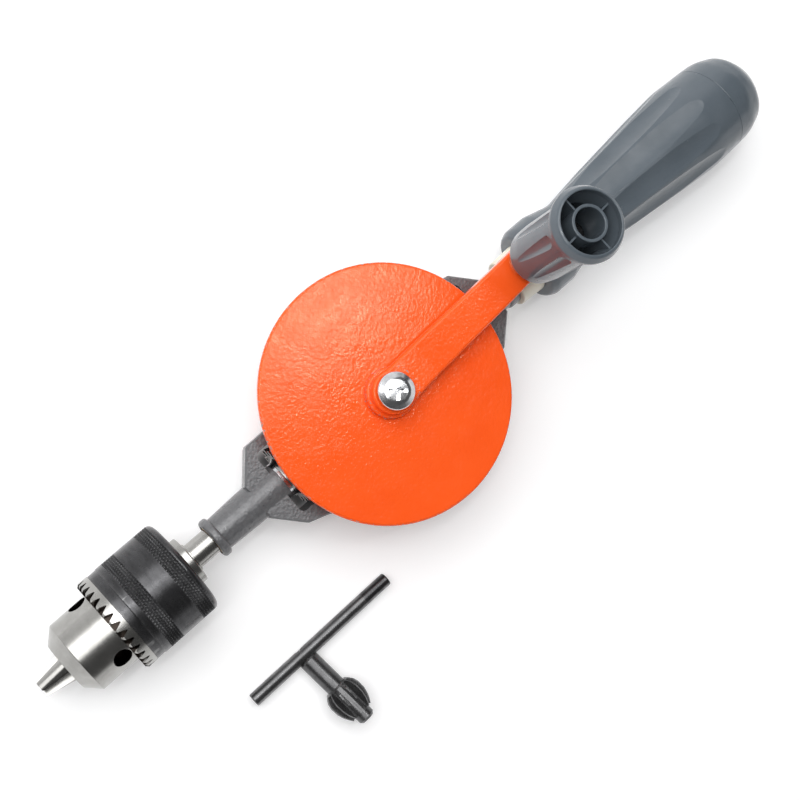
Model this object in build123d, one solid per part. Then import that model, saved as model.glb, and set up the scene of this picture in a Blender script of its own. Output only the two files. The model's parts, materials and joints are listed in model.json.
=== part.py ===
"""Hand drill (eggbeater type) with a keyed three-jaw chuck, bevel drive and crank.

Frame: millimetres. The drill lies on its side. +X runs along the spindle toward
the chuck, +Z runs up along the drive wheel's axis, and the origin is the centre of
the flat pad under the wheel, where the casting touches the surface it lies on.
All shapes are drawn about the crossing point of spindle axis and wheel axis and
lifted by AXIS_H at the end.
"""
from build123d import *
import math
import os

os.makedirs("parts", exist_ok=True)

# ---------------------------------------------------------------- dimensions
AXIS_H = 17.6            # height of the spindle axis over the rest surface
# chuck
SLEEVE_R = 17.0          # chuck sleeve outer radius
SLEEVE_X0, SLEEVE_X1 = 83.8, 108.8   # dark part of the sleeve
RING_X1 = 113.2          # front of the key teeth
RING_TEETH = 33
BODY_R = 12.9            # chuck body
BODY_X1 = 126.7          # where the nose cone begins
NOSE_X = 131.0           # nose face
NOSE_R = 8.5
HUB_R, HUB_X = 8.4, 81.1
JAW_ANGLE = 12.5         # degrees between jaw and spindle
JAW_R = 2.9
JAW_TIP_X = 140.5
JAW_REAR_X = 104.5
JAW_TRAVEL = 17.4        # along the jaw
JAW_AZ = (-20.0, 100.0, 220.0)       # from +Z toward +Y
KEYHOLE_AZ = (40.0, 160.0, -80.0)
KEYHOLE_X, KEYHOLE_R, KEYHOLE_DEPTH = 116.5, 3.15, 5.4
# spindle
SPINDLE_R = 4.5
JOURNAL_R = 3.5
# bevel pair
N_PINION, N_WHEEL = 16, 64
GEAR_X1, GEAR_X0 = 41.0, 33.5        # large and small end, distance from wheel axis
PRESSURE = 20.0
ADDENDUM, DEDENDUM = 1.09, 1.36      # at the large end
BACKLASH = 0.22
# wheel and crank
WHEEL_R = 42.9
WHEEL_TOP = 14.0
CRANK_AZ = 184.0         # direction of the crank arm, from +X toward +Y
CRANK_R = 65.85          # wheel axis to knob axis, at KNOB_PIV
KNOB_AZ, KNOB_PIV = 184.05, 46.0
KNOB_OUT, KNOB_SIDE = 3.2, 2.0       # lean of the knob pin, outward and sideways
AXLE_R = 4.0
# knob
KNOB_Z0, KNOB_Z1 = 24.9, 68.3
KNOB_LIP_R, KNOB_MOUTH_R = 12.2, 10.05
KNOB_FLUTES = 8
# frame
TUBE_R0, TUBE_R1 = 6.6, 5.9          # at the plate, at the collar
COLLAR_R = 7.1
COLLAR_X0, COLLAR_X1 = 69.5, 72.5
PLATE_TOP, PLATE_PART, PLATE_BOT = 5.0, 1.0, -8.5
PLATE_DRAFT = 8.0
WINDOW_X0, WINDOW_X1, WINDOW_Y = 13.0, 45.2, 12.2
BOSS_END = 43.6
PAD_R = 11.5
# handle
NECK_COLLAR = (-56.8, -61.3, 7.3)
FERRULE = (-61.3, -71.0)
HANDLE_X0, SEAM_X, HANDLE_END = -71.0, -165.3, -184.8
HANDLE_FLUTES = 10
# side handle boss
SIDE_Y, SIDE_R, SIDE_HOLE_R = 43.0, 7.5, 3.4
SIDE_DEPTH = 16.0

# ---------------------------------------------------------------- helpers


def outline(pts):
    """Closed wire through (a, b[, corner radius]) points in the XY plane."""
    n = len(pts)
    segs = []
    starts, ends = [], []
    for i, pt in enumerate(pts):
        p = Vector(pt[0], pt[1])
        rad = pt[2] if len(pt) > 2 else 0
        a = Vector(*pts[i - 1][:2])
        b = Vector(*pts[(i + 1) % n][:2])
        if rad > 0:
            u, v = (a - p).normalized(), (b - p).normalized()
            half = math.acos(max(-1, min(1, u.dot(v)))) / 2
            t = rad / math.tan(half)
            s, e = p + u * t, p + v * t
            c = p + (u + v).normalized() * (rad / math.sin(half))
            m = c + (p - c).normalized() * rad
            starts.append(s)
            ends.append(e)
            segs.append((s, m, e))
        else:
            starts.append(p)
            ends.append(p)
            segs.append(None)
    edges = []
    for i in range(n):
        if segs[i]:
            edges.append(Edge.make_three_point_arc(*segs[i]))
        a, b = ends[i], starts[(i + 1) % n]
        if (b - a).length > 1e-6:
            edges.append(Edge.make_line(a, b))
    return Wire(edges)


def face_xy(pts):
    return Face(outline(pts))


def turn_x(pts):
    """Solid of revolution about X from (x, r[, corner radius]) points."""
    return revolve(face_xy(pts), Axis.X, 360)


def turn_z(pts):
    """Solid of revolution about Z from (r, z[, corner radius]) points."""
    f = Plane.XZ * face_xy(pts)
    return revolve(f, Axis.Z, 360)


def cyl_x(x0, x1, r, ri=0.0):
    x0, x1 = min(x0, x1), max(x0, x1)
    s = Plane.YZ.offset(x0) * extrude(Circle(r), x1 - x0)
    if ri:
        s -= Plane.YZ.offset(x0 - 1) * extrude(Circle(ri), x1 - x0 + 2)
    return s


def cyl_z(z0, z1, r, ri=0.0, x=0.0, y=0.0):
    s = Pos(x, y, z0) * extrude(Circle(r), z1 - z0)
    if ri:
        s -= Pos(x, y, z0 - 1) * extrude(Circle(ri), z1 - z0 + 2)
    return s


def az_x(deg, shape):
    """Turn a shape drawn at the top of the spindle axis to azimuth deg (from +Z toward +Y)."""
    return Rot(-deg, 0, 0) * shape


def one(shape):
    """The single solid of a shape."""
    s = shape.solids()
    assert len(s) == 1, len(s)
    return s[0]


PARTS = {}


def save(name, shape, lift=AXIS_H):
    PARTS[name] = shape
    sols = shape.solids()
    c = Compound(children=[Pos(0, 0, lift) * s for s in sols]) if len(sols) > 1 else Pos(0, 0, lift) * sols[0]
    export_step(c, f"parts/{name}.step")
    print(name, len(sols), round(sum(s.volume for s in sols), 1))


# ---------------------------------------------------------------- bevel teeth


def pinion_section(x):
    """Tooth outline of the small gear in the plane at distance x from the wheel axis."""
    k = x / GEAR_X1
    rp = GEAR_X1 * N_PINION / N_WHEEL
    rb = rp * math.cos(math.radians(PRESSURE))
    rt, rr = rp + ADDENDUM, rp - DEDENDUM
    half_p = math.pi / 2 / N_PINION - BACKLASH / 4 / rp
    inv = lambda r: math.tan(math.acos(rb / r)) - math.acos(rb / r)
    pts = []
    for i in range(N_PINION):
        c = math.pi / 2 + 2 * math.pi * i / N_PINION
        flank = []
        for r in (rb + 0.02, 0.5 * (rb + rp), rp, rp + ADDENDUM / 2, rt):
            flank.append((r, half_p + inv(rp) - inv(r)))
        root_half = flank[0][1] + 0.012
        seq = [(rr, -root_half)] + [(r, -a) for r, a in flank] + [(r, a) for r, a in reversed(flank)] + [(rr, root_half)]
        for r, a in seq:
            pts.append((x, -k * r * math.cos(c + a), k * r * math.sin(c + a)))
    return Face(Wire.make_polygon([Vector(*p) for p in pts], close=True))


def pinion_teeth():
    return loft([pinion_section(GEAR_X0), pinion_section(GEAR_X1)], ruled=True)


def wheel_tooth(az):
    """One straight-sided tooth under the wheel's rim, tapering to the axes' crossing."""
    zp = GEAR_X1 * N_PINION / N_WHEEL
    m = 2 * zp / N_PINION
    tan = math.tan(math.radians(PRESSURE))
    half = math.pi * m / 4 - BACKLASH / 4
    up = DEDENDUM + 0.7
    sec = []
    for x in (GEAR_X0 + 0.15, GEAR_X1 - 0.15):
        k = x / GEAR_X1
        quad = [(-(half - ADDENDUM * tan), zp - ADDENDUM), (half - ADDENDUM * tan, zp - ADDENDUM),
                (half + up * tan, zp + up), (-(half + up * tan), zp + up)]
        sec.append(Face(Wire.make_polygon([Vector(x, k * y, k * z) for y, z in quad], close=True)))
    return Rot(0, 0, az) * loft(sec, ruled=True)


# ---------------------------------------------------------------- main frame
def build_frame():
    outer = [
        (54.2, 6.4), (45.6, 15.9, 1.2), (39.3, 18.0, 3), (15.0, 29.0, 8), (7.0, 31.0), (-7.0, 31.0), (-15.0, 29.0, 8),
        (-38.5, 17.6, 3), (-44.6, 15.4, 1.2), (-53.6, 6.8),
        (-53.6, -6.8), (-44.6, -15.9, 1.2), (-38.0, -16.2), (38.5, -16.2), (45.6, -16.1, 1.2), (54.2, -6.4)]
    # straight above the parting line, drafted below it
    upper = Pos(0, 0, PLATE_PART) * extrude(face_xy(outer), PLATE_TOP - PLATE_PART)
    upper = chamfer(upper.edges().group_by(Axis.Z)[-1], 0.5)
    inset = (PLATE_PART - PLATE_BOT) * math.tan(math.radians(PLATE_DRAFT))
    foot = offset(face_xy([p[:2] for p in outer]), amount=-inset, kind=Kind.INTERSECTION).face()
    lower = loft([Pos(0, 0, PLATE_BOT) * foot, Pos(0, 0, PLATE_PART) * face_xy([p[:2] for p in outer])], ruled=True)
    body = upper + lower
    for s in (1, -1):
        a, b = sorted((s * WINDOW_X0, s * WINDOW_X1))
        w = face_xy([(a, -WINDOW_Y, 2), (b, -WINDOW_Y, 2), (b, WINDOW_Y, 2), (a, WINDOW_Y, 2)])
        body -= Pos(0, 0, PLATE_BOT - 1) * extrude(w, PLATE_TOP - PLATE_BOT + 2)
    # front tube with its rounded collar
    body += turn_x([(BOSS_END, 0), (BOSS_END, TUBE_R0), (58.0, TUBE_R0 - 0.25), (COLLAR_X0, TUBE_R1), (COLLAR_X0, COLLAR_R, 0.9),
                    (COLLAR_X1, COLLAR_R, 1.1), (COLLAR_X1, 0)])
    # rear neck with its collar
    x0, x1, rc = NECK_COLLAR
    body += turn_x([(-BOSS_END, 0), (-BOSS_END, TUBE_R0), (-58.0, TUBE_R0), (x0, TUBE_R0), (x0, rc, 0.9), (x1, rc, 0.6), (x1, 0)])
    # axle boss through the plate, standing on the pad
    body += turn_z([(0, -AXIS_H), (PAD_R, -AXIS_H, 0.6), (PAD_R - 0.4, 6.4, 0.6), (0, 6.4)])
    # side-handle boss
    side = Plane.XZ.offset(-SIDE_Y) * extrude(Circle(SIDE_R), SIDE_Y - 20.0)
    body += side
    # bores
    body -= cyl_x(BOSS_END - 1, COLLAR_X1 + 1, 4.6)
    body -= cyl_x(COLLAR_X1 - 1.3, COLLAR_X1 + 1, 5.7)
    body -= cyl_x(x1 - 1, -BOSS_END + 1, 4.5)
    body -= cyl_z(-AXIS_H - 1, 8, 5.5)
    body -= cyl_z(-AXIS_H - 1, -9.0, 8.6)
    hole = Plane.XZ.offset(-SIDE_Y - 1) * extrude(Circle(SIDE_HOLE_R), SIDE_DEPTH + 1)
    body -= hole
    return one(body)


save("main_frame", build_frame())

# bronze-lined spindle bushes: a flanged one in the collar and a plain one at the plate
bush_front = cyl_x(61.0, COLLAR_X1 - 1.3, 4.6, JOURNAL_R + 0.03) + cyl_x(COLLAR_X1 - 1.3, COLLAR_X1 - 0.4, 5.7, JOURNAL_R + 0.03)
save("front_bush", one(bush_front))
save("rear_bush", one(cyl_x(BOSS_END, 53.0, 4.6, JOURNAL_R + 0.03)))
save("pinion_washer", one(cyl_x(42.5, 43.5, 6.6, JOURNAL_R + 0.08)))

# ---------------------------------------------------------------- wheel axle parts
save("axle_bush", one(cyl_z(-9.0, 6.4, 5.5, AXLE_R + 0.03)))
save("wheel_washer", one(cyl_z(6.4, 6.95, 9.5, AXLE_R + 0.1)))
save("axle_washer", one(cyl_z(-9.9, -9.05, 7.6, AXLE_R + 0.1)))
clip = cyl_z(-11.0, -10.05, 6.6, 3.25) - Pos(5, 0, -10.5) * Box(8, 3.4, 3)
save("axle_clip", one(clip))
save("boss_plug", one(turn_z([(0, -AXIS_H), (8.6, -AXIS_H, 0.3), (8.6, -14.8, 0.2), (0, -14.8)])))

axle = turn_z([(0, -12.6), (AXLE_R, -12.6, 0.5), (AXLE_R, -11.05), (3.25, -11.05), (3.25, -10.0), (AXLE_R, -10.0), (AXLE_R, 20.5, 0.3), (0, 20.5)])
flats = Pos(0, 0, 7.0 + 10) * (Box(20, 20, 20) - Box(20, 2 * 3.2, 22))
axle -= flats
axle -= cyl_z(6.5, 22, 2.4)
save("wheel_axle", one(axle))

# double-D hole that fits the axle's flats
dd_hole = cyl_z(6, 21.5, AXLE_R) & Pos(0, 0, 14) * Box(20, 2 * 3.2, 20)

# ---------------------------------------------------------------- drive wheel
k0 = (GEAR_X0 - 0.1) / GEAR_X1
zr = GEAR_X1 * N_PINION / N_WHEEL + DEDENDUM
root = lambda r: zr * r / GEAR_X1
wheel = turn_z([(0, 7.0), (11.0, 7.0, 0.5), (11.0, 10.8, 1.5), (32.6, 10.8), (33.2, root(33.2)), (41.4, root(41.4)), (WHEEL_R, root(41.4) - 0.25, 0.5),
                (WHEEL_R, WHEEL_TOP, 0.8), (0, WHEEL_TOP)])
wheel -= dd_hole
wheel = wheel.solids()[0].fuse(*[wheel_tooth((i + 0.5) * 360 / N_WHEEL).solids()[0] for i in range(N_WHEEL)])
wheel = wheel if isinstance(wheel, (Solid, Compound, Part)) else Compound(children=list(wheel))
save("drive_wheel", one(wheel))

# ---------------------------------------------------------------- pinions
pin_hub = cyl_x(29.8, GEAR_X0, 6.0)
pin_front = turn_x([(GEAR_X1, 0), (GEAR_X1, 7.6), (41.9, 6.8, 0.4), (42.4, 6.6), (42.4, 0)])
pinion = pinion_teeth() + pin_hub + pin_front
pinion_s = pinion - cyl_x(20, 50, JOURNAL_R)
pinion_s -= Pos(31.7, 0, -8) * extrude(Circle(1.0), 16)
save("drive_pinion", one(pinion_s))
save("pinion_pin", one(Pos(31.7, 0, -5.9) * extrude(Circle(1.0), 11.8)))

idler = pinion_teeth() + turn_x([(GEAR_X1, 0), (GEAR_X1, 7.6), (41.9, 6.8, 0.4), (42.4, 6.6), (42.4, 0)]) + cyl_x(32.4, GEAR_X0, 6.0)
idler = mirror(idler, Plane.YZ)
idler = idler - cyl_x(-50, -20, JOURNAL_R + 0.05)
save("idler_pinion", one(idler))
save("idler_washer", one(cyl_x(-43.5, -42.5, 6.6, JOURNAL_R + 0.02)))
clip2 = cyl_x(-32.25, -31.4, 5.9, 2.85) - Pos(-31.8, 0, 5) * Box(3, 3.0, 8)
save("idler_clip", one(clip2))

# ---------------------------------------------------------------- spindle
spindle = turn_x([(29.2, 0), (29.2, JOURNAL_R, 0.5), (COLLAR_X1 - 0.25, JOURNAL_R), (COLLAR_X1 - 0.25, SPINDLE_R, 0.3), (80.3, SPINDLE_R), (80.3, 5.3, 0.2), (HUB_X, 5.3),
                  (HUB_X, 4.0), (96.0, 4.0, 0.6), (96.0, 0)])
spindle -= Pos(31.7, 0, -8) * extrude(Circle(1.0), 16)
save("spindle", one(spindle))

# ---------------------------------------------------------------- chuck
tanb = math.tan(math.radians(JAW_ANGLE))
cosb = math.cos(math.radians(JAW_ANGLE))
JAW_D0 = 0.25            # distance of the jaw's own axis from the spindle axis at the tip


def jaw_line(x):
    return JAW_D0 + (JAW_TIP_X - x) * tanb


def jaw_cylinder(xa, xb, r):
    """Round bar on the jaw's inclined line at the top azimuth, from xa to xb."""
    a, b = Vector(xa, 0, jaw_line(xa)), Vector(xb, 0, jaw_line(xb))
    return Plane(origin=a, z_dir=(b - a).normalized(), x_dir=(0, 1, 0)) * extrude(Circle(r), (b - a).length)


body = turn_x([(HUB_X, 0), (HUB_X, HUB_R, 0.5), (84.2, HUB_R), (84.2, 15.1, 0.4), (86.0, 15.1, 0.2), (86.0, BODY_R), (102.3, BODY_R), (102.3, 10.0),
               (108.5, 10.0), (108.5, BODY_R), (BODY_X1, BODY_R, 0.4), (NOSE_X, NOSE_R, 0.4), (NOSE_X, 0)])
body -= cyl_x(HUB_X - 1, 96.6, 4.0)
body -= cyl_x(99.0, NOSE_X + 1, 5.2)
for azd in JAW_AZ:
    body -= az_x(azd, jaw_cylinder(JAW_REAR_X - JAW_TRAVEL - 0.35, 150.0, JAW_R + 0.06))
for azd in KEYHOLE_AZ:
    body -= az_x(azd, Pos(KEYHOLE_X, 0, BODY_R - KEYHOLE_DEPTH) * extrude(Circle(KEYHOLE_R), 10))
body_solids = sorted(body.solids(), key=lambda s: -s.volume)
print("chuck body pieces", [round(s.volume, 2) for s in body_solids])
save("chuck_body", body_solids[0])

# sleeve, dark, with a fine step at its front
sleeve = turn_x([(SLEEVE_X1, 15.25), (SLEEVE_X1, SLEEVE_R - 0.22), (105.8, SLEEVE_R - 0.22), (105.6, SLEEVE_R), (SLEEVE_X0, SLEEVE_R, 1.9),
                 (SLEEVE_X0, 15.25)])
save("chuck_sleeve", one(sleeve))


# bare front ring of the sleeve with its key teeth: 33 notches, wide at the front
def ring_section(x, half, rad):
    pts = []
    for i in range(RING_TEETH):
        c = 2 * math.pi * i / RING_TEETH
        step = 2 * math.pi / RING_TEETH
        floor = 13.9
        notch_top = math.asin(half / rad)
        notch_low = math.asin(half * 0.8 / floor)
        for k in range(5):
            t = -0.5 * step + notch_top + (step - 2 * notch_top) * k / 4
            pts.append((rad, c + t))
        pts.append((floor, c + 0.5 * step - notch_low))
        pts.append((floor, c + 0.5 * step + notch_low))
    return Face(Wire.make_polygon([Vector(x, -r * math.sin(t), r * math.cos(t)) for r, t in pts], close=True))


ring = loft([ring_section(RING_X1 - 3.0, 0.22, SLEEVE_R), ring_section(RING_X1 - 0.9, 1.06, SLEEVE_R)], ruled=True)
ring += loft([ring_section(RING_X1 - 0.9, 1.06, SLEEVE_R), ring_section(RING_X1, 1.42, SLEEVE_R - 0.9)], ruled=True)
ring += cyl_x(SLEEVE_X1, RING_X1 - 3.0, SLEEVE_R)
ring -= cyl_x(SLEEVE_X1 - 1, RING_X1 + 1, BODY_R + 0.1)
save("sleeve_ring", one(ring))

# split nut: two halves pressed in the sleeve, inner cone clear of the jaws
nut = turn_x([(102.45, 15.25), (108.35, 15.25), (108.35, jaw_line(108.35) + JAW_R / cosb + 0.12), (102.45, jaw_line(102.45) + JAW_R / cosb + 0.12)])
nut -= Pos(105, 0, 0) * Box(20, 0.5, 60)
save("split_nut", nut)

# jaws: round bars with the gripping flats at the front and the screw rack at the back
jaw_solids = []
for j, azd in enumerate(JAW_AZ):
    bar = jaw_cylinder(JAW_REAR_X, JAW_TIP_X + 1.2, JAW_R)
    # square off the tip
    bar -= Pos(JAW_TIP_X + 5, 0, 0) * Box(10, 40, 40)
    # two flats that meet in a ridge along the spindle axis, 120 degrees apart
    gap = 0.12
    for sgn in (1, -1):
        bar -= Rot(sgn * 60, 0, 0) * (Pos(120, 0, gap - 15) * Box(80, 60, 30))
    # rack grooves on the outside, where the nut engages
    d = Vector(JAW_TIP_X - JAW_REAR_X, 0, jaw_line(JAW_TIP_X) - jaw_line(JAW_REAR_X)).normalized()
    for n in range(11):
        s = 1.3 + 2.0 * n
        c = Vector(JAW_REAR_X, 0, jaw_line(JAW_REAR_X)) + d * s
        bar -= Plane(origin=c + Vector(-d.Z, 0, d.X) * JAW_R, z_dir=d, x_dir=(0, 1, 0)) * Box(2 * JAW_R, 1.3, 0.9)
    jaw = one(bar)
    jaw_solids.append(jaw)
    save(f"jaw_{j + 1}", one(az_x(azd, jaw)))

# ---------------------------------------------------------------- crank
ZB0, ZT0, ZB1, ZT1 = 16.8, 20.8, 20.2, 24.2
side_prof = Plane.XZ * face_xy([(-9, ZB0), (16, ZB0, 8), (50, ZB1, 8), (80, ZB1), (80, ZT1), (49, ZT1, 8), (15, ZT0, 8), (-9, ZT0)])
bar = extrude(side_prof, 10, both=True)
plan = Pos(0, 0, 0) * extrude(face_xy([(0, -6.7), (CRANK_R - 2, -5.9), (CRANK_R + 6.4, -5.9, 5.6), (CRANK_R + 6.4, 5.9, 5.6), (CRANK_R - 2, 5.9), (0, 6.7)]), 40)
arm = bar & plan
try:
    sel = [e for e in arm.edges() if e.center().Z > 18.4 and not (abs(e.center().X) < 0.2) and abs((e % 0.5).Z) < 0.3 and e.length > 3 and
           abs(e.center().Z - (ZT0 if e.center().X < 15 else ZT1)) < 3.6 and e.center().Z > (ZB0 + ZT0) / 2 + (0 if e.center().X < 30 else 2.6)]
    arm = fillet(sel, 1.0)
except Exception as err:
    print("arm fillet skipped", err)
hub = turn_z([(0, WHEEL_TOP), (8.4, WHEEL_TOP), (8.4, 17.2, 0.7), (7.3, 17.2), (7.3, ZT0, 0.9), (0, ZT0)])
kx, ky = CRANK_R * math.cos(math.radians(KNOB_AZ)), CRANK_R * math.sin(math.radians(KNOB_AZ))


def at_knob(shape):
    """Set a shape drawn about Z on the knob pin's slightly leaning axis."""
    return Pos(kx, ky, KNOB_PIV) * Rot(0, 0, KNOB_AZ) * Rot(0, KNOB_OUT, 0) * Rot(-KNOB_SIDE, 0, 0) * Pos(0, 0, -KNOB_PIV) * shape


SEAT = 24.0
crank = Rot(0, 0, CRANK_AZ) * (arm + hub)
crank -= at_knob(cyl_z(10, 40, 3.0))
crank -= at_knob(cyl_z(10, ZB1 + 1.0, 4.6))
crank -= at_knob(cyl_z(SEAT, 34, 8.6))
crank -= dd_hole
save("crank_arm", one(crank))

save("screw_washer", one(cyl_z(ZT0, 21.9, 5.2, 2.6)))
screw = turn_z([(0, 7.4), (2.4, 7.4, 0.4), (2.4, 21.9), (6.3, 21.9, 0.2), (6.3, 23.0, 0.9), (3.9, 24.5, 2.5), (0, 24.7)])
cross = Pos(0, 0, 23.9) * (Box(6.4, 1.25, 2.6) + Box(1.25, 6.4, 2.6))
cross += Pos(0, 0, 22.4) * extrude(Circle(1.3), 3)
screw -= Rot(0, 0, 50) * cross
save("centre_screw", one(screw))

pin = turn_z([(0, ZB1 - 0.6), (4.6, ZB1 - 0.6, 0.5), (4.6, ZB1 + 1.0), (3.0, ZB1 + 1.0), (3.0, 52.1), (4.5, 52.1), (4.5, 54.0, 0.6), (0, 54.6)])
pin -= Pos(0, 0, 54.2) * extrude(Circle(0.45), 1)
save("knob_pin", one(at_knob(pin)))
save("knob_washer", one(at_knob(cyl_z(SEAT, 24.8, 8.2, 3.0))))

# ---------------------------------------------------------------- crank knob
outer = [(3.06, KNOB_Z0), (8.2, KNOB_Z0, 0.0), (9.5, 27.3, 1.8), (9.9, 34.0, 12), (10.1, 60.0, 6), (10.6, 62.6, 1.5), (12.1, 63.6, 0.6), (KNOB_LIP_R, 65.3, 1.4),
         (11.1, 67.8, 1.2), (KNOB_MOUTH_R, KNOB_Z1, 0.3), (9.9, 66.0, 0.0), (8.3, 60.0, 2), (7.7, 32.0, 0.8), (5.95, 32.0, 0.4), (5.95, 67.2, 0.3), (4.9, 67.2, 0.3), (4.9, 52.0), (3.06, 52.0)]
knob = turn_z(outer)
for a in range(4):
    rib = Pos(0, 0, 31.5) * extrude(face_xy([(5.3, -0.32), (9.0, -0.32), (9.0, 0.32), (5.3, 0.32)]), 28.0)
    rib += Pos(0, 0, 59.0) * extrude(face_xy([(5.3, -0.3), (10.4, -0.3), (10.4, 0.3), (5.3, 0.3)]), 6.6)
    knob += Rot(0, 0, 90 * a) * rib


def flute_cutter(r, z0, z1, lean_r0, lean_r1):
    """Round-ended bar whose axis runs from radius lean_r0 at z0 to lean_r1 at z1."""
    a, b = Vector(lean_r0, 0, z0), Vector(lean_r1, 0, z1)
    L = (b - a).length
    f = face_xy([(0, -r), (r, -r, r * 0.999), (r, L + r, r * 0.999), (0, L + r)])
    s = revolve(Plane.XZ * f, Axis.Z, 360)
    return Plane(origin=a, z_dir=(b - a).normalized(), x_dir=(0, 1, 0)) * s


for i in range(KNOB_FLUTES):
    knob -= Rot(0, 0, 22.5 + 45 * i) * flute_cutter(3.0, 31.0, 56.2, 12.9, 11.85)
save("crank_knob", one(at_knob(knob)))

# ---------------------------------------------------------------- handle
rod = turn_x([(-31.0, 0), (-31.0, JOURNAL_R, 0.4), (-31.3, JOURNAL_R), (-31.3, 2.85), (-32.35, 2.85), (-32.35, JOURNAL_R), (-BOSS_END, JOURNAL_R), (-BOSS_END, 4.5),
              (-112.0, 4.5), (-112.0, 4.0), (-124.5, 4.0, 0.6), (-124.5, 0)])
save("handle_rod", one(rod))
ferrule = turn_x([(FERRULE[0], 4.5), (FERRULE[0], 8.9, 0.5), (FERRULE[1], 9.3, 0.4), (FERRULE[1], 4.5)])
save("handle_ferrule", one(ferrule))
save("handle_washer", one(cyl_x(-113.2, -112.0, 9.0, 4.0)))
nut_h = Plane.YZ.offset(-120.0) * extrude(RegularPolygon(7.5, 6), 6.8) - cyl_x(-121, -112, 4.0)
save("handle_nut", one(nut_h))

grip_prof = [(HANDLE_X0, 4.5), (HANDLE_X0, 12.6, 1.5), (-73.5, 13.9, 4), (-81.5, 13.9, 5), (-92.0, 11.3, 12), (-112.0, 13.9, 60), (-136.0, 16.25, 60), (-153.0, 17.5, 40),
             (SEAM_X, 17.05, 0), (SEAM_X, 13.3), (-112.0, 10.9, 0.6), (-112.0, 4.5)]
grip = turn_x(grip_prof)


def handle_flute(az):
    """Long shallow flute that runs out to a point at both ends."""
    r, half, sag = 15.0, 31.0, 0.55
    a, b = Vector(-93.5, 0, 11.55 + r - sag), Vector(-155.5, 0, 17.42 + r - sag)
    L = (b - a).length
    arc = Edge.make_three_point_arc(Vector(r - sag, -half), Vector(r, 0), Vector(r - sag, half))
    f = Face(Wire([Edge.make_line(Vector(0, -half), Vector(r - sag, -half)), arc, Edge.make_line(Vector(r - sag, half), Vector(0, half)),
                   Edge.make_line(Vector(0, half), Vector(0, -half))]))
    s = revolve(Plane.XZ * f, Axis.Z, 360)
    return az_x(az, Plane(origin=(a + b) * 0.5, z_dir=(b - a).normalized(), x_dir=(0, 1, 0)) * s)


for i in range(HANDLE_FLUTES):
    grip -= handle_flute(36.0 * i + 18.0)
# internal mouth for the cap's spigot
grip -= cyl_x(SEAM_X - 1, SEAM_X + 9.5, 13.9)
save("handle_grip", one(grip))

cap = turn_x([(SEAM_X - 0.1, 17.05, 0.35), (-172.0, 16.6, 14), (-178.6, 14.3, 8), (-183.0, 9.2, 7), (HANDLE_END, 3.4, 8), (HANDLE_END, 0), (-176.0, 0), (-176.0, 10.4, 3), (SEAM_X, 11.9), (SEAM_X + 9.0, 11.9, 0.4),
              (SEAM_X + 9.0, 13.82, 0.5), (SEAM_X - 0.1, 13.82)])
save("handle_cap", one(cap))

# ---------------------------------------------------------------- chuck key, lying beside the drill
KEY_AT = (72.5, 51.15, 3.1)      # where shank axis and bar axis cross
KEY_BAR_R, KEY_BAR = 2.36, (94.6, 34.4)
KEY_SHANK_R, KEY_PILOT_R = 3.55, 3.05
KEY_TILT, KEY_YAW = 10.5, 4.2
KEY_LEN = 30.2                   # bar axis to pilot tip
KEY_TEETH = 12


def key_frame(shape):
    """The key is drawn along +X from the bar's axis, then laid along +Y, tilted up at the pilot end."""
    return Pos(*KEY_AT) * Rot(0, 0, KEY_YAW) * Rot(KEY_TILT, 0, 0) * Rot(0, 0, 90) * shape


key = turn_x([(1.9, 0), (1.9, KEY_SHANK_R, 0.9), (15.1, KEY_SHANK_R), (15.1, 4.3), (16.2, 5.3), (17.5, 6.15), (19.4, 6.58), (22.2, 6.45), (24.4, 5.85), (26.0, 5.05), (27.2, 4.25),
              (26.6, KEY_PILOT_R), (KEY_LEN - 0.8, KEY_PILOT_R), (KEY_LEN, KEY_PILOT_R - 0.75), (KEY_LEN, 0)])
groove = Pos(15.7, 0, 0) * (Plane.YZ * extrude(face_xy([(-0.74, 3.75), (0.74, 3.75), (2.1, 9.0), (-2.1, 9.0)]), 14.0))
key = key.solids()[0].cut(*[az_x(i * 360 / KEY_TEETH, groove).solids()[0] for i in range(KEY_TEETH)])
key = key if isinstance(key, (Solid, Compound, Part)) else Compound(children=list(key))
key = key_frame(key)
bar_at = Pos(KEY_BAR[1], KEY_AT[1], KEY_AT[2])
key -= bar_at * cyl_x(-5, KEY_BAR[0] - KEY_BAR[1] + 5, KEY_BAR_R + 0.02)
key += key_frame(cyl_x(-2.2, 4.0, 1.45))
save("chuck_key", one(key), lift=0)
tbar = bar_at * turn_x([(0, 0), (0, KEY_BAR_R, 0.5), (KEY_BAR[0] - KEY_BAR[1], KEY_BAR_R, 0.5), (KEY_BAR[0] - KEY_BAR[1], 0)])
tbar -= key_frame(cyl_x(-6, 6, 1.47))
save("chuck_key_bar", one(tbar), lift=0)
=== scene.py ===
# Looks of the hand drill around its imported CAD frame. Metres, same frame as the CAD.
import bpy, bmesh, math, json
import numpy as np
from mathutils import Vector, Matrix


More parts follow.
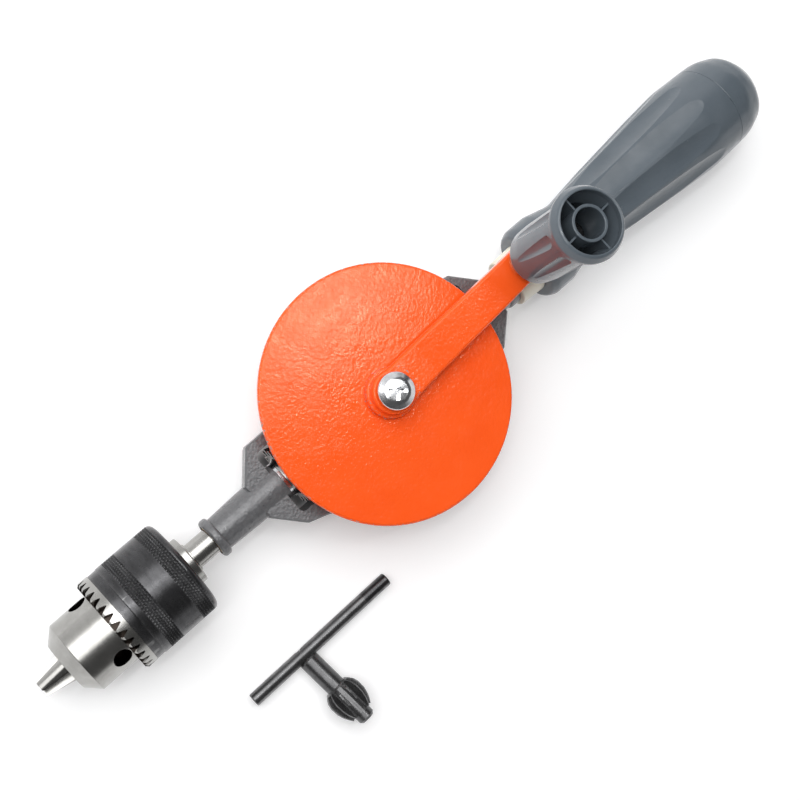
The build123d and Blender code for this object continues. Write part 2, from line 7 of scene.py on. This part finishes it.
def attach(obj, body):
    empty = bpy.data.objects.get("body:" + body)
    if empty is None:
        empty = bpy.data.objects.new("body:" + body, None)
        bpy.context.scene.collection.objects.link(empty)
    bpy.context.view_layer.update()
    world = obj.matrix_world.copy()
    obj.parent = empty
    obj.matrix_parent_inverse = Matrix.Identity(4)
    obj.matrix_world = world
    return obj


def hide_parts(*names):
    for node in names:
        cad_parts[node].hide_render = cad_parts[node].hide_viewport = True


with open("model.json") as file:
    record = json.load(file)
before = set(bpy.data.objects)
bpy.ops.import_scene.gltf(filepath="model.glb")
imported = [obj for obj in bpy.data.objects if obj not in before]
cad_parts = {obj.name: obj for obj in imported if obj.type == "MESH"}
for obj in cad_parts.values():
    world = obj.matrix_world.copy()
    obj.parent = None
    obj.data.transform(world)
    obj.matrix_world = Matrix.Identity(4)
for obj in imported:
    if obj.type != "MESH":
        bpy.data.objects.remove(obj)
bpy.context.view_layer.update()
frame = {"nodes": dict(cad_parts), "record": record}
nodes = frame["nodes"]
scene = bpy.context.scene
MM = 0.001
H = 17.6                      # spindle axis height, mm

# ------------------------------------------------------------------ node helpers


class Mat:
    """Small builder for a Principled material in object space."""

    def __init__(self, name, color, rough=0.4, metal=0.0, **sockets):
        self.m = bpy.data.materials.new(name)
        self.m.use_nodes = True
        self.t = self.m.node_tree
        self.p = self.t.nodes["Principled BSDF"]
        self.p.inputs["Base Color"].default_value = (*color, 1)
        self.p.inputs["Roughness"].default_value = rough
        self.p.inputs["Metallic"].default_value = metal
        for k, v in sockets.items():
            self.p.inputs[k.replace("_", " ")].default_value = v
        self.coord = self.n("ShaderNodeTexCoord").outputs["Object"]

    def n(self, kind, **props):
        node = self.t.nodes.new(kind)
        for k, v in props.items():
            setattr(node, k, v)
        return node

    def link(self, a, b):
        self.t.links.new(a, b)

    def mapped(self, scale=(1, 1, 1), rot=(0, 0, 0)):
        mp = self.n("ShaderNodeMapping")
        mp.inputs["Scale"].default_value = scale
        mp.inputs["Rotation"].default_value = rot
        self.link(self.coord, mp.inputs["Vector"])
        return mp.outputs["Vector"]

    def noise(self, scale, detail=3.0, rough=0.5, vec=None, distort=0.0):
        nd = self.n("ShaderNodeTexNoise")
        nd.inputs["Scale"].default_value = scale
        nd.inputs["Detail"].default_value = detail
        nd.inputs["Roughness"].default_value = rough
        nd.inputs["Distortion"].default_value = distort
        self.link(vec or self.coord, nd.inputs["Vector"])
        return nd.outputs["Fac"]

    def voronoi(self, scale, vec=None, feature="F1", smooth=0.3):
        nd = self.n("ShaderNodeTexVoronoi", feature=feature)
        nd.inputs["Scale"].default_value = scale
        if feature == "SMOOTH_F1":
            nd.inputs["Smoothness"].default_value = smooth
        self.link(vec or self.coord, nd.inputs["Vector"])
        return nd.outputs["Distance"]

    def ramp(self, fac, stops):
        nd = self.n("ShaderNodeValToRGB")
        el = nd.color_ramp.elements
        while len(el) < len(stops):
            el.new(0.5)
        for e, (pos, col) in zip(el, stops):
            e.position = pos
            e.color = (*col, 1) if hasattr(col, "__len__") else (col, col, col, 1)
        self.link(fac, nd.inputs["Fac"])
        return nd.outputs["Color"]

    def math(self, op, a, b=None, clamp=False):
        nd = self.n("ShaderNodeMath", operation=op, use_clamp=clamp)
        for s, v in zip(nd.inputs, (a, b)):
            if v is None:
                continue
            if isinstance(v, (int, float)):
                s.default_value = v
            else:
                self.link(v, s)
        return nd.outputs[0]

    def mix(self, fac, a, b):
        nd = self.n("ShaderNodeMix", data_type="RGBA")
        for s, v in ((nd.inputs["Factor"], fac), (nd.inputs["A"], a), (nd.inputs["B"], b)):
            if isinstance(v, (int, float)):
                s.default_value = v
            elif isinstance(v, tuple):
                s.default_value = (*v, 1)
            else:
                self.link(v, s)
        return nd.outputs["Result"]

    def color(self, out):
        self.link(out, self.p.inputs["Base Color"])
        return self

    def rough(self, out):
        self.link(out, self.p.inputs["Roughness"])
        return self

    def bump(self, out, dist, strength=1.0):
        """Bump from a 0..1 height and a depth in metres; several calls add up."""
        nd = self.n("ShaderNodeBump")
        nd.inputs["Strength"].default_value = strength
        nd.inputs["Distance"].default_value = dist
        self.link(out, nd.inputs["Height"])
        src = self.p.inputs["Normal"]
        if src.links:
            self.link(src.links[0].from_socket, nd.inputs["Normal"])
        self.link(nd.outputs["Normal"], src)
        return self

    def pointiness(self):
        return self.n("ShaderNodeNewGeometry").outputs["Pointiness"]


# ------------------------------------------------------------------ materials


def band(m, out, lo, hi, soft):
    """1 between lo and hi, falling to 0 over soft on both sides."""
    up = m.n("ShaderNodeMapRange", interpolation_type="SMOOTHSTEP")
    up.inputs["From Min"].default_value = lo - soft
    up.inputs["From Max"].default_value = lo
    m.link(out, up.inputs["Value"])
    dn = m.n("ShaderNodeMapRange", interpolation_type="SMOOTHSTEP")
    dn.inputs["From Min"].default_value = hi
    dn.inputs["From Max"].default_value = hi + soft
    dn.inputs["To Min"].default_value = 1.0
    dn.inputs["To Max"].default_value = 0.0
    m.link(out, dn.inputs["Value"])
    return m.math("MULTIPLY", up.outputs["Result"], dn.outputs["Result"])


def radius(m, axis="Z", centre=(0, 0, 0)):
    """Distance from an axis through centre, from object coordinates (metres)."""
    sub = m.n("ShaderNodeVectorMath", operation="SUBTRACT")
    m.link(m.coord, sub.inputs[0])
    sub.inputs[1].default_value = centre
    mul = m.n("ShaderNodeVectorMath", operation="MULTIPLY")
    m.link(sub.outputs["Vector"], mul.inputs[0])
    mul.inputs[1].default_value = (1, 1, 0) if axis == "Z" else (0, 1, 1)
    ln = m.n("ShaderNodeVectorMath", operation="LENGTH")
    m.link(mul.outputs["Vector"], ln.inputs[0])
    return ln.outputs["Value"]


def xyz(m):
    """Object coordinates as three outputs, in metres."""
    sep = m.n("ShaderNodeSeparateXYZ")
    m.link(m.coord, sep.inputs["Vector"])
    return sep.outputs["X"], sep.outputs["Y"], sep.outputs["Z"]


def make_materials():
    M = {}
    # thick gloss orange enamel: orange peel, chips with bare metal round the hub and on the rim
    m = Mat("orange_enamel", (1.0, 0.118, 0.018), 0.14, 0.0, Coat_Weight=0.0, Specular_IOR_Level=0.4)
    m.p.inputs["Specular Tint"].default_value = (1.0, 0.84, 0.62, 1)
    peel = m.noise(1000, 2.0, 0.5)
    swell = m.noise(150, 2.0, 0.5)
    m.bump(swell, 0.0003, 0.2).bump(peel, 0.00015, 0.42)
    var = m.noise(60, 3, 0.6)
    paint = m.ramp(var, [(0.3, (0.93, 0.096, 0.012)), (0.7, (0.97, 0.108, 0.015))])
    r = radius(m)
    # chips only along the wheel's own corner, below the crank arm
    edge = m.math("MULTIPLY", m.math("GREATER_THAN", r, 0.04245), m.math("LESS_THAN", xyz(m)[2], 0.0316))
    hub = band(m, r, 0.0077, 0.0084, 0.0004)
    chip = m.ramp(m.noise(900, 4, 0.7), [(0.56, 0.0), (0.6, 1.0)])
    where = m.math("MAXIMUM", m.math("MULTIPLY", edge, 0.9), m.math("MULTIPLY", hub, 0.8))
    bare = m.math("MULTIPLY", where, chip)
    m.color(m.mix(bare, paint, (0.30, 0.27, 0.25)))
    rough = m.ramp(m.noise(180, 3, 0.6), [(0.3, 0.1), (0.75, 0.2)])
    m.rough(m.mix(bare, rough, (0.5, 0.5, 0.5)))
    M["orange_paint"] = m.m
    # hammered dark grey casting
    m = Mat("grey_casting", (0.07, 0.071, 0.076), 0.34, 0.15, Coat_Weight=0.3, Coat_Roughness=0.18)
    v = m.voronoi(1100, feature="SMOOTH_F1", smooth=0.6)
    n = m.noise(1500, 3, 0.6)
    m.bump(v, 0.00035, 0.3).bump(n, 0.00016, 0.35)
    m.color(m.ramp(m.noise(800, 4, 0.7), [(0.3, (0.098, 0.099, 0.104)), (0.72, (0.152, 0.153, 0.158))]))
    m.rough(m.ramp(m.noise(400, 3, 0.6), [(0.3, 0.26), (0.75, 0.46)]))
    M["frame_grey"] = m.m
    # turned satin steel, fine lines round the axis
    m = Mat("turned_steel", (0.6, 0.595, 0.58), 0.22, 1.0)
    lines = m.noise(1100, 3, 0.6, m.mapped((10, 0.25, 0.25)))
    m.bump(lines, 0.000012, 0.4)
    m.rough(m.ramp(m.noise(600, 3, 0.6, m.mapped((8, 0.4, 0.4))), [(0.3, 0.22), (0.7, 0.27)]))
    stain = m.noise(260, 4, 0.65)
    tone = m.ramp(stain, [(0.3, (0.34, 0.335, 0.32)), (0.62, (0.40, 0.395, 0.38)), (0.8, (0.45, 0.445, 0.43))])
    # inside the key holes, the tooth notches, the bore and between the jaw tips the steel is painted near-black:
    # painted shade in these recesses
    rx = radius(m, "X", (0, 0, H * MM))
    sep = m.n("ShaderNodeSeparateXYZ")
    m.link(m.coord, sep.inputs["Vector"])
    chuck = m.math("GREATER_THAN", sep.outputs["X"], 0.0805)
    body = m.math("MULTIPLY", band(m, sep.outputs["X"], 0.112, 0.1215, 0.0005), m.math("LESS_THAN", rx, 0.01255))
    notch = m.math("MULTIPLY", band(m, sep.outputs["X"], 0.1085, 0.1140, 0.0003), band(m, rx, 0.01345, 0.0161, 0.0006))
    jaws = m.math("MULTIPLY", m.math("LESS_THAN", rx, 0.0010), m.math("GREATER_THAN", sep.outputs["X"], 0.1309))
    recess_shade = m.math("MULTIPLY", chuck, m.math("MAXIMUM", m.math("MAXIMUM", body, notch), jaws))
    # mix the near-black painted shade into the recesses
    m.color(m.mix(recess_shade, tone, (0.032, 0.026, 0.022)))
    M["bright_steel"] = m.m
    # bright zinc plate
    m = Mat("zinc", (0.74, 0.75, 0.77), 0.15, 1.0)
    m.bump(m.noise(1500, 3, 0.6), 0.00002, 0.4)
    m.color(m.ramp(m.noise(500, 4, 0.65), [(0.3, (0.6, 0.61, 0.63)), (0.7, (0.8, 0.81, 0.83))]))
    m.rough(m.ramp(m.noise(400, 3, 0.6), [(0.3, 0.16), (0.75, 0.26)]))
    M["zinc_plate"] = m.m
    # black oxide
    m = Mat("black_oxide", (0.04, 0.04, 0.042), 0.3, 0.8)
    m.bump(m.noise(1800, 3, 0.6, m.mapped((3, 1, 1))), 0.00003, 0.5)
    tone = m.ramp(m.noise(300, 4, 0.65, m.mapped((2, 0.6, 0.6))), [(0.3, (0.04, 0.04, 0.042)), (0.72, (0.072, 0.072, 0.075))])
    # the loose key's black oxide is painted a lighter tone than the sleeve's: a painted highlight standing in for the
    # brighter sheen the key shows
    kx, ky, _ = xyz(m)
    key_painted_highlight = m.math("MULTIPLY", m.math("GREATER_THAN", ky, 0.03), m.math("GREATER_THAN", kx, 0.045))
    tone = m.mix(key_painted_highlight, tone, m.ramp(m.noise(240, 3, 0.6), [(0.3, (0.085, 0.085, 0.087)), (0.72, (0.125, 0.125, 0.128))]))
    worn = m.ramp(m.pointiness(), [(0.52, 0.0), (0.58, 1.0)])
    rub = m.ramp(m.noise(260, 3, 0.6), [(0.4, 0.15), (0.65, 0.55)])
    m.color(m.mix(m.math("MULTIPLY", worn, rub), tone, (0.3, 0.3, 0.3)))
    m.rough(m.ramp(m.noise(350, 3, 0.6), [(0.3, 0.23), (0.75, 0.31)]))
    M["black_oxide"] = m.m
    # bronze
    m = Mat("bronze", (0.55, 0.36, 0.15), 0.38, 1.0)
    m.bump(m.noise(1600, 3, 0.6), 0.00004, 0.4)
    m.color(m.ramp(m.noise(500, 4, 0.6), [(0.3, (0.46, 0.29, 0.11)), (0.7, (0.6, 0.4, 0.18))]))
    m.rough(m.ramp(m.noise(800, 3, 0.6), [(0.3, 0.3), (0.75, 0.5)]))
    M["bronze"] = m.m
    # glossy blue-grey plastic
    m = Mat("blue_grey_plastic", (0.058, 0.074, 0.09), 0.2, 0.0, Specular_IOR_Level=0.42, Coat_Weight=0.08, Coat_Roughness=0.08)
    m.bump(m.noise(160, 2, 0.4), 0.0003, 0.35).bump(m.noise(1700, 2, 0.5), 0.00002, 0.35)
    m.color(m.ramp(m.noise(70, 3, 0.6), [(0.3, (0.085, 0.104, 0.122)), (0.7, (0.104, 0.124, 0.144))]))
    m.rough(m.ramp(m.noise(260, 3, 0.6), [(0.3, 0.16), (0.75, 0.28)]))
    M["blue_grey_plastic"] = m.m
    # cream plastic
    m = Mat("cream_plastic", (0.78, 0.74, 0.62), 0.38, 0.0, Subsurface_Weight=0.15)
    m.p.inputs["Subsurface Radius"].default_value = (0.002, 0.0015, 0.001)
    m.p.inputs["Subsurface Scale"].default_value = 1.0
    m.bump(m.noise(300, 3, 0.5), 0.00006, 0.3)
    m.color(m.ramp(m.noise(110, 4, 0.6), [(0.3, (0.75, 0.71, 0.59)), (0.7, (0.8, 0.765, 0.65))]))
    m.rough(m.ramp(m.noise(300, 3, 0.6), [(0.3, 0.32), (0.75, 0.46)]))
    M["cream_plastic"] = m.m
    return M


MATS = make_materials()
slot_of = {s["node"]: s["material_slot"] for s in frame["record"]["subparts"]}
for name, ob in nodes.items():
    ob.data.materials.clear()
    ob.data.materials.append(MATS[slot_of[name]])
    for p in ob.data.polygons:
        p.use_smooth = True

# ------------------------------------------------------------------ knurled sleeve
def knurled_sleeve():
    """The chuck sleeve with two diamond-knurled bands cut into it, turned about the spindle axis."""
    N = 920
    xs_out = [83.8, 83.95, 84.3, 84.8, 85.3]
    xs_out += list(np.linspace(85.6, 90.4, 40))
    xs_out += [90.7, 92.5, 95.0, 97.2, 98.0]
    xs_out += list(np.linspace(98.3, 103.3, 42))
    xs_out += [103.6, 104.6, 105.55, 105.62, 105.8, 105.9, 107.2, 108.72, 108.79]

    def base_r(x):
        if x < 85.7:
            d = 85.7 - x
            return 15.1 + math.sqrt(max(0.0, 1.9 ** 2 - d * d))
        if x > 105.78:
            return 16.78 - (0.05 if x > 108.75 else 0.0)
        return 17.0 - (0.0 if x < 105.6 else 0.12)

    az = np.arange(N) * 2 * np.pi / N
    R, count, lean = 17.0, 92, math.tan(math.radians(33))
    rows, radii = [], []
    for x in xs_out:
        r = np.full(N, base_r(x))
        for lo, hi in ((85.6, 90.4), (98.3, 103.3)):
            if lo <= x <= hi:
                fade = min(1.0, min(x - lo, hi - x) / 0.35)
                u = az * count / (2 * np.pi)
                w = (x - lo) * lean * count / (2 * np.pi * R)
                tri = lambda t: np.abs((t % 1.0) - 0.5) * 2
                d = np.minimum(tri(u + w), tri(u - w))
                depth = np.clip(0.75 - d, 0.0, 1.0) / 0.75 * 0.42
                r = r - depth * fade
        rows.append(x)
        radii.append(r)
    # inner wall, front to back
    for x in (108.79, 108.6, 100.0, 90.0, 84.0, 83.8):
        rows.append(x)
        radii.append(np.full(N, 15.25))
    V, F = [], []
    for x, r in zip(rows, radii):
        for a, q in zip(az, r):
            V.append((x * MM, q * math.sin(a) * MM, (q * math.cos(a) + H) * MM))
    n = len(rows)
    for i in range(n):
        j = (i + 1) % n
        for k in range(N):
            l = (k + 1) % N
            F.append((i * N + k, i * N + l, j * N + l, j * N + k))
    me = bpy.data.meshes.new("sleeve_knurled")
    me.from_pydata(V, [], F)
    bm = bmesh.new()
    bm.from_mesh(me)
    bmesh.ops.recalc_face_normals(bm, faces=bm.faces)
    bm.to_mesh(me)
    bm.free()
    for p in me.polygons:
        p.use_smooth = True
    me.set_sharp_from_angle(angle=math.radians(28))
    ob = bpy.data.objects.new("sleeve_knurled", me)
    scene.collection.objects.link(ob)
    me.materials.append(MATS["black_oxide"])
    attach(ob, "sleeve_and_nut")
    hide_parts("chuck_sleeve")
    return ob


knurled_sleeve()

# ------------------------------------------------------------------ floor, light and camera
floor_me = bpy.data.meshes.new("floor")
S = 3.0
floor_me.from_pydata([(-S, -S, 0), (S, -S, 0), (S, S, 0), (-S, S, 0)], [], [(0, 1, 2, 3)])
floor = bpy.data.objects.new("floor", floor_me)
scene.collection.objects.link(floor)
fm = Mat("floor_white", (0.85, 0.85, 0.855), 0.85)
fm.p.inputs["Emission Color"].default_value = (1.0, 1.0, 1.0, 1.0)
fm.p.inputs["Emission Strength"].default_value = 0.24
# deep shade on the floor right under the casting's windows
fx, fy, _ = xyz(fm)
shade = fm.math("MULTIPLY", band(fm, fm.math("ABSOLUTE", fx), 0.018, 0.0400, 0.008), band(fm, fy, -0.0065, 0.0115, 0.008))
shade = fm.math("MULTIPLY", shade, 0.92)
white = fm.ramp(fm.noise(3, 2, 0.5), [(0.3, (0.845, 0.845, 0.85)), (0.7, (0.855, 0.855, 0.86))])
fm.color(fm.mix(shade, white, (0.03, 0.03, 0.032)))
fm.link(fm.math("MULTIPLY", fm.math("SUBTRACT", 1.0, shade), 0.24), fm.p.inputs["Emission Strength"])
floor_me.materials.append(fm.m)

WORLD_WHITE, WORLD_DARK = 1.0, 0.09
world = bpy.data.worlds.new("studio")
scene.world = world
world.use_nodes = True
wt = world.node_tree
bg = wt.nodes["Background"]
WN = lambda kind, **props: (lambda nd: [setattr(nd, k, v) for k, v in props.items()] and nd or nd)(wt.nodes.new(kind))
wc = WN("ShaderNodeTexCoord")
wsep = WN("ShaderNodeSeparateXYZ")
wt.links.new(wc.outputs["Generated"], wsep.inputs["Vector"])


def wrange(sock, lo, hi, a, b):
    nd = WN("ShaderNodeMapRange", interpolation_type="SMOOTHSTEP")
    for k, v in (("From Min", lo), ("From Max", hi), ("To Min", a), ("To Max", b)):
        nd.inputs[k].default_value = v
    wt.links.new(sock, nd.inputs["Value"])
    return nd.outputs["Result"]


def wmath(op, a, b):
    nd = WN("ShaderNodeMath", operation=op)
    for s_, v in zip(nd.inputs, (a, b)):
        if isinstance(v, (int, float)):
            s_.default_value = v
        else:
            wt.links.new(v, s_)
    return nd.outputs[0]


# dark overhead and toward +Y, white near the horizon; the camera itself sees plain white
over = wrange(wsep.outputs["Z"], 0.16, 0.34, 0.0, 1.0)
side = wrange(wsep.outputs["Y"], -0.62, -0.25, 0.25, 1.0)
level = wrange(wmath("MULTIPLY", over, side), 0.0, 1.0, WORLD_WHITE, WORLD_DARK)
lp = WN("ShaderNodeLightPath")
cam_mix = WN("ShaderNodeMix", data_type="FLOAT")
wt.links.new(lp.outputs["Is Camera Ray"], cam_mix.inputs["Factor"])
wt.links.new(level, cam_mix.inputs[2])
cam_mix.inputs[3].default_value = 1.0
wt.links.new(cam_mix.outputs[0], bg.inputs["Strength"])
bg.inputs["Color"].default_value = (1, 1, 1, 1)

# camera directions in the row frame: right, down and forward
C = Vector((112.255, -50.364, 418.301 + H)) * MM
Rr = Vector((-0.7247949759786515, 0.6258631804371594, 0.28804083420444015))
Rd = Vector((0.6345312680914623, 0.7692672830507288, -0.07481922909246527))
Rf = Vector((-0.26840699061378187, 0.1285423144370515, -0.9546908194744618))
cam_data = bpy.data.cameras.new("camera")
cam = bpy.data.objects.new("camera", cam_data)
scene.collection.objects.link(cam)
rot = Matrix((Rr, -Rd, -Rf)).transposed()
cam.matrix_world = Matrix.Translation(C) @ rot.to_4x4()
cam_data.sensor_width = 36.0
cam_data.lens = 1305.612538 / 800 * 36
cam_data.clip_start = 0.01
scene.camera = cam


def area(name, pos, target, size, power, size_y=None, color=(1, 1, 1)):
    ld = bpy.data.lights.new(name, "AREA")
    ld.energy = power
    ld.color = color
    ld.shape = "RECTANGLE"
    ld.size = size
    ld.size_y = size_y or size
    lo = bpy.data.objects.new(name, ld)
    scene.collection.objects.link(lo)
    d = (Vector(target) - Vector(pos)).normalized()
    lo.location = pos
    lo.rotation_euler = d.to_track_quat("-Z", "Y").to_euler()
    return lo


def flat(name, x0, x1, y0, y1, z, radiance):
    """Softbox parallel to the floor, facing down, of a given radiance."""
    w, h = x1 - x0, y1 - y0
    return area(name, ((x0 + x1) / 2, (y0 + y1) / 2, z), ((x0 + x1) / 2, (y0 + y1) / 2 + 1e-4, 0), w, radiance * math.pi * w * h, h)


flat("softbox", -0.62, 0.95, -1.15, 0.07, 1.2, 2.75)
flat("strip", -0.05, 0.55, -0.34, -0.27, 1.15, 14.0)
flat("lamp", -0.42, -0.24, 0.0, 0.04, 1.18, 30.0)

scene.view_settings.view_transform = "Standard"

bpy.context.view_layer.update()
